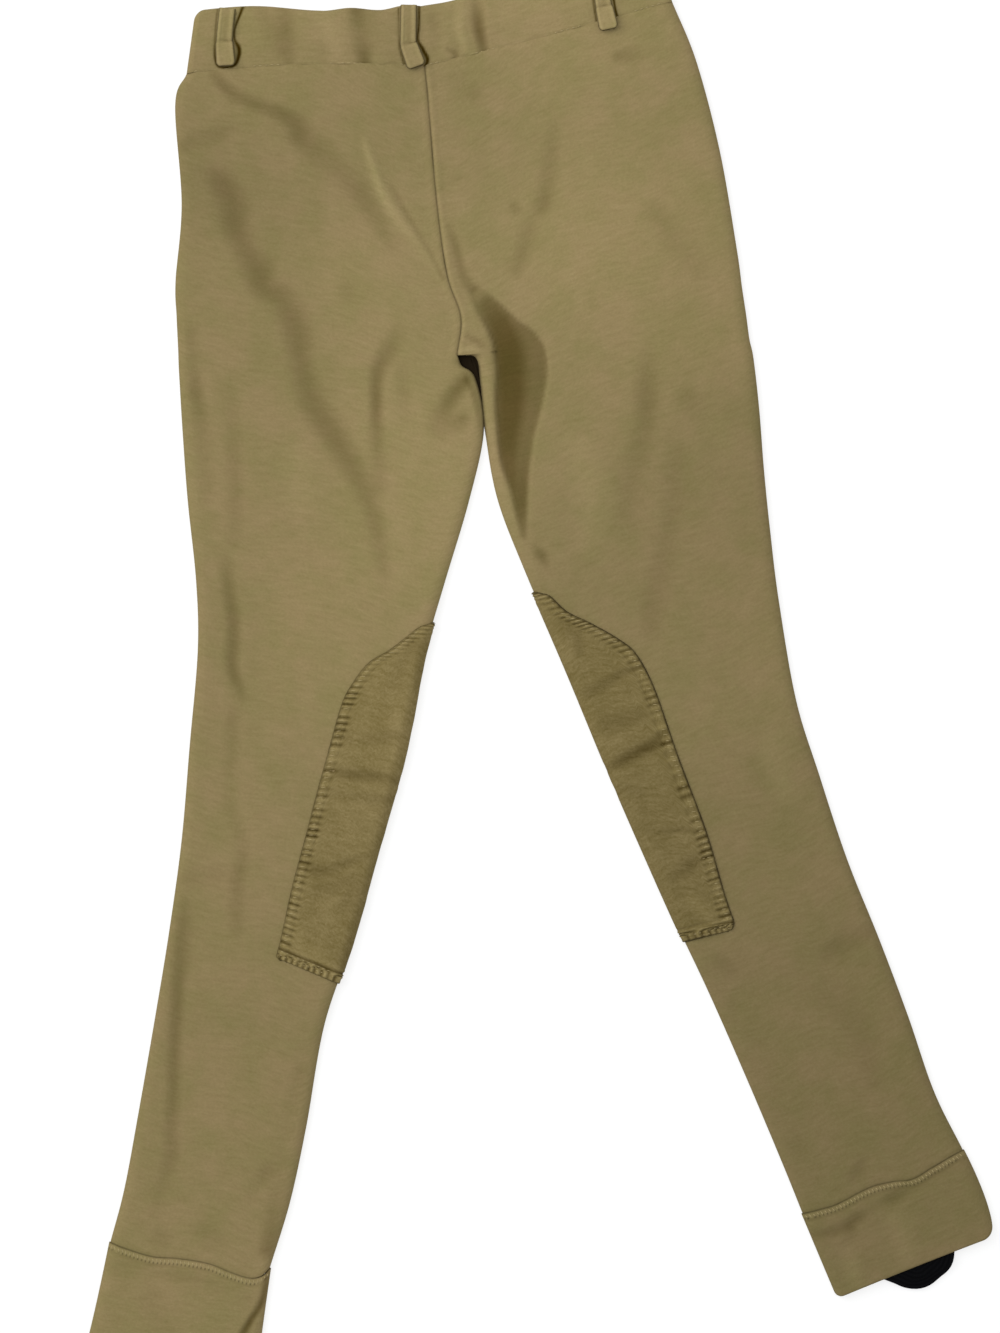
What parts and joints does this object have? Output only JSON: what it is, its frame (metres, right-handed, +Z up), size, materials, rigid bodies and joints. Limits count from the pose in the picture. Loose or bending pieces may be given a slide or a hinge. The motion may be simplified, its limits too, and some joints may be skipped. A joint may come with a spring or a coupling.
{
  "type": "riding breeches",
  "caption": "Child's riding breeches in knit cloth, laid flat on their front: elastic waistband with belt loops, inner knee patches, ankle cuffs and an elastic strap under each foot.",
  "frame": {"origin": "middle of the garment's box in plan, on the surface it lies on", "axes": "+Y from the cuffs towards the waist, +Z up from the surface it lies on, +X to the wearer's right, with the back panels up"},
  "size_m": [0.5191, 0.817, 0.0122],
  "materials": {
    "knit_cloth": "heathered olive-tan cotton and elastane knit, matt",
    "patch_cloth": "darker olive brushed patch cloth, matt",
    "elastic_strap": "black woven elastic"
  },
  "bodies": {
    "root": {"back_left": "knit_cloth", "back_right": "knit_cloth", "front_left": "knit_cloth", "front_right": "knit_cloth", "cuff_left": "knit_cloth", "cuff_right": "knit_cloth", "knee_patch_left": "patch_cloth", "knee_patch_right": "patch_cloth", "waistband_back": "knit_cloth", "waistband_front": "knit_cloth", "belt_loop_back_left": "knit_cloth", "belt_loop_centre_back": "knit_cloth", "belt_loop_back_right": "knit_cloth", "belt_loop_front_left": "knit_cloth", "belt_loop_front_right": "knit_cloth", "stirrup_strap_left": "elastic_strap", "stirrup_strap_right": "elastic_strap"}
  },
  "joints": []
}
